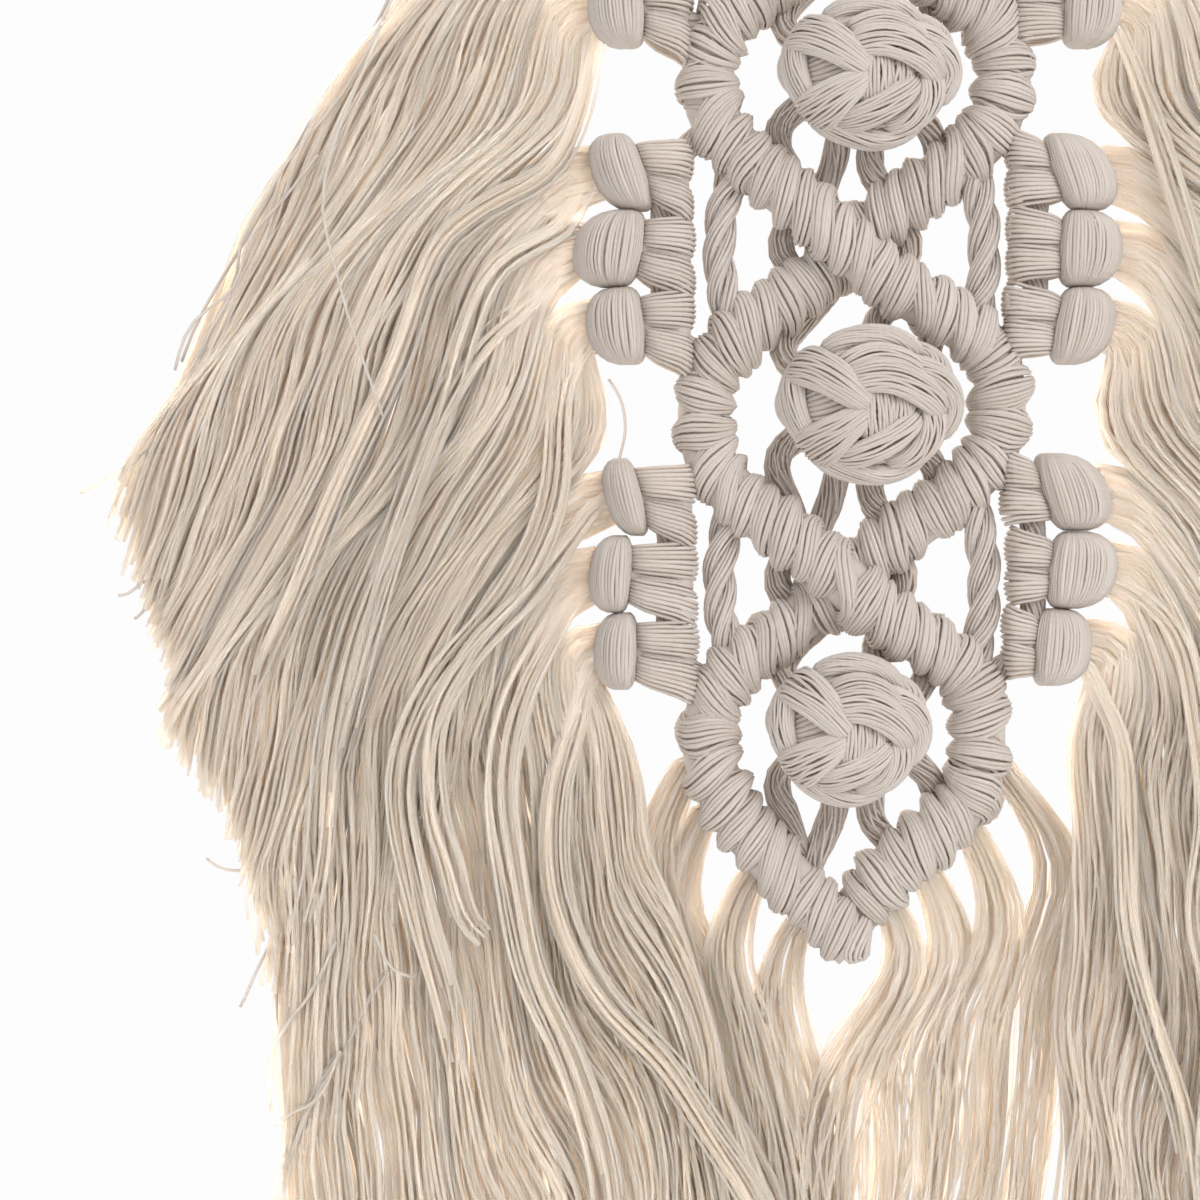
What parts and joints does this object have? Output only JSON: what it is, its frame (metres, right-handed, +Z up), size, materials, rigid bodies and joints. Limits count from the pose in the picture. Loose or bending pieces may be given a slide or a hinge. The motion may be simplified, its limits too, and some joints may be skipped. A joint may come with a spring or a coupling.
{
  "type": "macrame wall hanging",
  "caption": "Hanging of wrapped cotton cords braided into rings, with a popcorn knot in each ring and long combed fringe looped down both sides.",
  "frame": {"origin": "middle of the top edge of the level bar that the hanging is held by, halfway through its thickness", "axes": "+Z up as it hangs, +X to the viewer's right, -Y the decorated front, +Y towards the wall"},
  "size_m": [0.2979, 0.0309, 0.32],
  "materials": {
    "knotted_cord": "Matte grey-beige cotton cord, wrapped and knotted so that single yarns show side by side.",
    "fringe_yarn": "Matte cream cotton yarn, unspun into loose wavy lengths that let some light through."
  },
  "bodies": {
    "root": {"knotted_body": "knotted_cord", "fringe_left_1": "fringe_yarn", "fringe_left_2": "fringe_yarn", "fringe_left_3": "fringe_yarn", "fringe_left_4": "fringe_yarn", "fringe_left_5": "fringe_yarn", "fringe_left_6": "fringe_yarn", "fringe_left_7": "fringe_yarn", "fringe_left_8": "fringe_yarn", "fringe_left_9": "fringe_yarn", "fringe_right_1": "fringe_yarn", "fringe_right_2": "fringe_yarn", "fringe_right_3": "fringe_yarn", "fringe_right_4": "fringe_yarn", "fringe_right_5": "fringe_yarn", "fringe_right_6": "fringe_yarn", "fringe_right_7": "fringe_yarn", "fringe_right_8": "fringe_yarn", "fringe_right_9": "fringe_yarn", "fringe_bottom": "fringe_yarn"}
  },
  "joints": []
}
